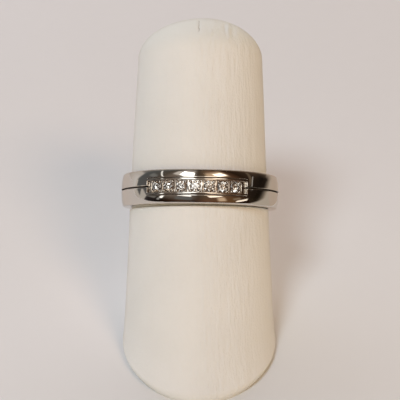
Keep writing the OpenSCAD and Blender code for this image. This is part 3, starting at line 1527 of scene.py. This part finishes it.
SHADED_TABLE = Surround(
    name="shaded_table",
    radius=34 * MM,
    left=64.0,
    right=172.0,
    low=-25.0,
    high=9.0,
    blend_low=-6.0,
    blend_high=5.0,
    low_tones=(
        (64.0, (0.03, 0.02, 0.012)),
        (74.0, (0.02, 0.013, 0.007)),
        (79.0, (0.11, 0.085, 0.06)),
        (85.0, (0.33, 0.27, 0.21)),
        (92.0, (0.46, 0.38, 0.30)),
        (103.0, (0.56, 0.46, 0.365)),
        (135.0, (0.58, 0.49, 0.42)),
        (172.0, (0.60, 0.53, 0.47)),
    ),
    high_tones=(
        (64.0, (0.03, 0.02, 0.012)),
        (78.0, (0.012, 0.008, 0.005)),
        (106.0, (0.02, 0.014, 0.01)),
        (113.0, (0.24, 0.19, 0.15)),
        (124.0, (0.48, 0.40, 0.33)),
        (172.0, (0.60, 0.53, 0.47)),
    ),
    glows=(
        Glow(98, -13.3, 76, 20.4, 5, 0.52, Beam.PEACH),
    ),
)

FRONT_TONES = (
    (-43.0, (0.015, 0.006, 0.003)),
    (-20.0, (0.05, 0.028, 0.02)),
    (-8.0, (0.03, 0.017, 0.012)),
    (12.0, (0.08, 0.03, 0.014)),
    (38.0, (0.15, 0.078, 0.036)),
    (47.0, (0.03, 0.01, 0.004)),
)
SHADED_FRONT = Surround(
    name="shaded_front",
    radius=34 * MM,
    left=-43.0,
    right=64.0,
    low=-9.0,
    high=6.0,
    blend_low=-5.0,
    blend_high=-2.5,
    low_tones=FRONT_TONES + ((53.0, (0.48, 0.43, 0.37)), (64.0, (0.48, 0.43, 0.37))),
    high_tones=FRONT_TONES + ((64.0, (0.015, 0.006, 0.002)),),
)


@dataclass(frozen=True)
class Panel:
    """A soft light that faces the ring, measured in degrees from the ring.

    Args:
        name: the light's name.
        azimuth: its direction, from the front to the right.
        elevation: how high it hangs.
        wide: its width.
        tall: its height.
        radiance: how bright its face is.
        beam: its colour.
    """

    name: str
    azimuth: float
    elevation: float
    wide: float
    tall: float
    radiance: float
    beam: Beam

    def build(self, middle: Vector, distance: float) -> None:
        """Hangs the panel. Metal and stones mirror the surroundings in its stead.

        Args:
            middle: the point that it faces.
            distance: how far from that point it hangs.
        """
        data = bpy.data.lights.new(self.name, "AREA")
        data.shape = "RECTANGLE"
        data.size = 2 * distance * math.tan(math.radians(self.wide / 2))
        data.size_y = 2 * distance * math.tan(math.radians(self.tall / 2))
        data.energy = math.pi * data.size * data.size_y * self.radiance
        data.color = self.beam.value
        light = bpy.data.objects.new(self.name, data)
        away = towards(math.radians(self.azimuth), math.radians(self.elevation))
        light.location = middle + away * distance
        light.rotation_euler = away.to_track_quat("Z", "Y").to_euler()
        light.visible_glossy = False
        light.visible_transmission = False
        bpy.context.scene.collection.objects.link(light)


@dataclass
class Studio:
    """The pale table, the soft lights, what the metal mirrors, and the camera."""

    placing: Placing
    table: float = 3.0
    table_cells: int = 4
    camera_distance: float = 140 * MM
    camera_elevation: float = math.radians(32.43)
    camera_aim: float = 17.91 * MM
    camera_side: float = 0.109 * MM
    focal_pixels: float = 1069.8
    picture_pixels: float = 400
    sensor: float = 36.0
    clip_start: float = 5 * MM
    horizon: float = 1.12
    pale_below: float = math.radians(5)
    dark_above: float = math.radians(35)
    light_distance: float = 0.5
    panels: tuple[Panel, ...] = (
        Panel("window", -32, 56, 16, 16, 19.5, Beam.DAYLIGHT),
        Panel("lamp", 40, 46, 18, 18, 9.75, Beam.LAMP),
        Panel("wall_behind", 180, 32, 60, 36, 1.95, Beam.WALL),
        Panel("wall_behind_left", -135, 32, 40, 36, 1.02, Beam.SIDE),
        Panel("ceiling_left", -100, 60, 40, 30, 0.37, Beam.CEILING),
    )
    surrounds: tuple[Surround, ...] = (DARK_ROOM, SHADED_TABLE, SHADED_FRONT)

    def _aim(self) -> Vector:
        """The point of the finger's axis that the camera looks at."""
        return self.placing.finger() @ Vector((self.camera_side, 0, self.camera_aim))

    def add_table(self) -> None:
        """Lays the table top."""
        bm = bmesh.new()
        bmesh.ops.create_grid(bm, x_segments=self.table_cells, y_segments=self.table_cells,
                              size=self.table)
        top = make_object(bm, "table_top", [PaleTable().build()])

    def add_sky(self) -> None:
        """Lights the room: warm and pale round the horizon, dark overhead."""
        world = bpy.data.worlds.new("room")
        bpy.context.scene.world = world
        bench = Bench(world)
        height = bench.axes(bench.node("ShaderNodeTexCoord", output="Generated"))[2]
        strength = height.band(math.sin(self.dark_above), math.sin(self.pale_below), 0, self.horizon)
        glow = {"Color": opaque(Beam.HORIZON.value), "Strength": strength}
        shader = bench.node("ShaderNodeBackground", {}, glow)
        bench.finish("ShaderNodeOutputWorld", shader)

    def add_camera(self) -> None:
        """Sets the camera at the photograph's angle."""
        data = bpy.data.cameras.new("camera")
        data.sensor_width = self.sensor
        data.lens = self.sensor * self.focal_pixels / self.picture_pixels
        data.clip_start = self.clip_start
        camera = bpy.data.objects.new("camera", data)
        away = towards(0, self.camera_elevation)
        camera.location = self._aim() + away * self.camera_distance
        camera.rotation_euler = away.to_track_quat("Z", "Y").to_euler()
        bpy.context.scene.collection.objects.link(camera)
        bpy.context.scene.camera = camera

    def build(self) -> None:
        """Sets up the studio."""
        bpy.context.scene.view_settings.view_transform = "Standard"
        self.add_camera()
        self.add_table()
        self.add_sky()
        for panel in self.panels:
            panel.build(self._aim(), self.light_distance)
        for surround in self.surrounds:
            surround.build(self._aim())


def main() -> None:
    """Builds the pieces in order."""
    logging.basicConfig(level=logging.INFO, format="%(name)s %(message)s")
    placing = Placing()
    Studio(placing).build()
    DisplayFinger(placing).build()
    band = Band(placing)
    band.build()
    Brilliants(band.stones).build()


if __name__ == "__main__":
    main()
